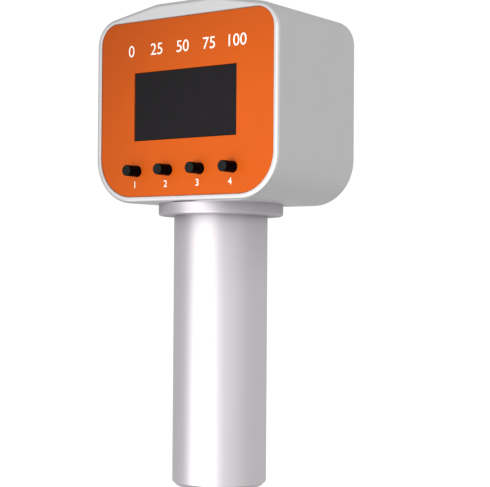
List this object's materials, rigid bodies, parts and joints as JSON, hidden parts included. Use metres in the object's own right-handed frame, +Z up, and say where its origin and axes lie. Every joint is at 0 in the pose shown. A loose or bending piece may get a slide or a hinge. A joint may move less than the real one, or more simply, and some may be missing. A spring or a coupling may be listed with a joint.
{
  "type": "hardness tester",
  "caption": "Digital hardness tester: display head on a round handle, with push buttons and a sprung indenter in the presser foot.",
  "frame": {"origin": "middle of the presser foot's contact face, on the indenter's axis", "axes": "+Z up through the handle to the head, -Y the way the display faces, +X to the display's right as it is read"},
  "size_m": [0.0716, 0.0487, 0.1645],
  "materials": {
    "satin_aluminium": "satin bead-blasted anodised",
    "orange_lacquer": "satin orange lacquer",
    "smoked_window": "smoked acrylic, dull gloss",
    "display_glass": "switched-off liquid crystal glass",
    "diffuser": "milky light diffuser",
    "black_plastic": "moulded black plastic",
    "dull_black_plastic": "moulded black plastic, dull",
    "circuit_board": "green solder mask on glass epoxy",
    "hard_steel": "ground and polished steel",
    "screw_steel": "zinc-plated steel",
    "spring_steel": "oiled spring wire",
    "brass": "turned brass",
    "gasket": "thin foam adhesive",
    "scale_epoxy": "glass epoxy with a copper scale",
    "cell_can": "nickel-plated can"
  },
  "bodies": {
    "frame": {"handle_tube": "satin_aluminium", "collar": "satin_aluminium", "collar_screws": "screw_steel", "presser_foot": "hard_steel", "lower_bush": "brass", "upper_bush": "brass", "inner_barrel": "brass", "calibrated_spring": "spring_steel", "spring_adjuster": "brass", "adjuster_lock_ring": "brass", "head_case": "satin_aluminium", "front_panel": "orange_lacquer", "panel_gasket": "gasket", "display_window": "smoked_window", "display_glass": "display_glass", "display_diffuser": "diffuser", "display_frame": "dull_black_plastic", "main_board": "circuit_board", "main_board_screws": "screw_steel", "board_chips": "dull_black_plastic", "switch_bodies": "dull_black_plastic", "sensor_board": "circuit_board", "sensor_spacers": "brass", "guide_bracket": "hard_steel", "guide_bracket_screws": "screw_steel", "rear_cover": "satin_aluminium", "rear_cover_screws": "screw_steel", "battery_holder": "dull_black_plastic", "holder_screws": "screw_steel", "coin_cell": "cell_can", "battery_contacts": "brass"},
    "plunger": {"spindle": "hard_steel", "indenter": "hard_steel", "indenter_grub_screw": "screw_steel", "spring_seat": "brass", "spring_seat_pin": "screw_steel", "scale_strip": "scale_epoxy", "scale_carrier": "satin_aluminium", "guide_pin": "hard_steel"},
    "button_left": {"button_left": "black_plastic"},
    "button_centre_left": {"button_centre_left": "black_plastic"},
    "button_centre_right": {"button_centre_right": "black_plastic"},
    "button_right": {"button_right": "black_plastic"},
    "battery_cap": {"battery_cap": "dull_black_plastic"}
  },
  "joints": [
    {"name": "indenter_slide", "type": "slide", "parent": "frame", "child": "plunger", "axis": [0, 0, 1], "range_m": [0, 0.0025], "stiffness_N_per_m": 3000, "springref_m": -0.00018, "deforming": ["calibrated_spring"]},
    {"name": "button_left_press", "type": "slide", "parent": "frame", "child": "button_left", "axis": [0, 1, 0], "range_m": [0, 0.00025], "stiffness_N_per_m": 5300, "springref_m": -0.00005},
    {"name": "button_centre_left_press", "type": "slide", "parent": "frame", "child": "button_centre_left", "axis": [0, 1, 0], "range_m": [0, 0.00025], "stiffness_N_per_m": 5300, "springref_m": -0.00005},
    {"name": "button_centre_right_press", "type": "slide", "parent": "frame", "child": "button_centre_right", "axis": [0, 1, 0], "range_m": [0, 0.00025], "stiffness_N_per_m": 5300, "springref_m": -0.00005},
    {"name": "button_right_press", "type": "slide", "parent": "frame", "child": "button_right", "axis": [0, 1, 0], "range_m": [0, 0.00025], "stiffness_N_per_m": 5300, "springref_m": -0.00005},
    {"name": "battery_cap_turn", "type": "hinge", "parent": "frame", "child": "battery_cap", "pos_m": [0, 0.02338, 0.13035], "axis": [0, 1, 0], "range_deg": [0, 60]}
  ]
}
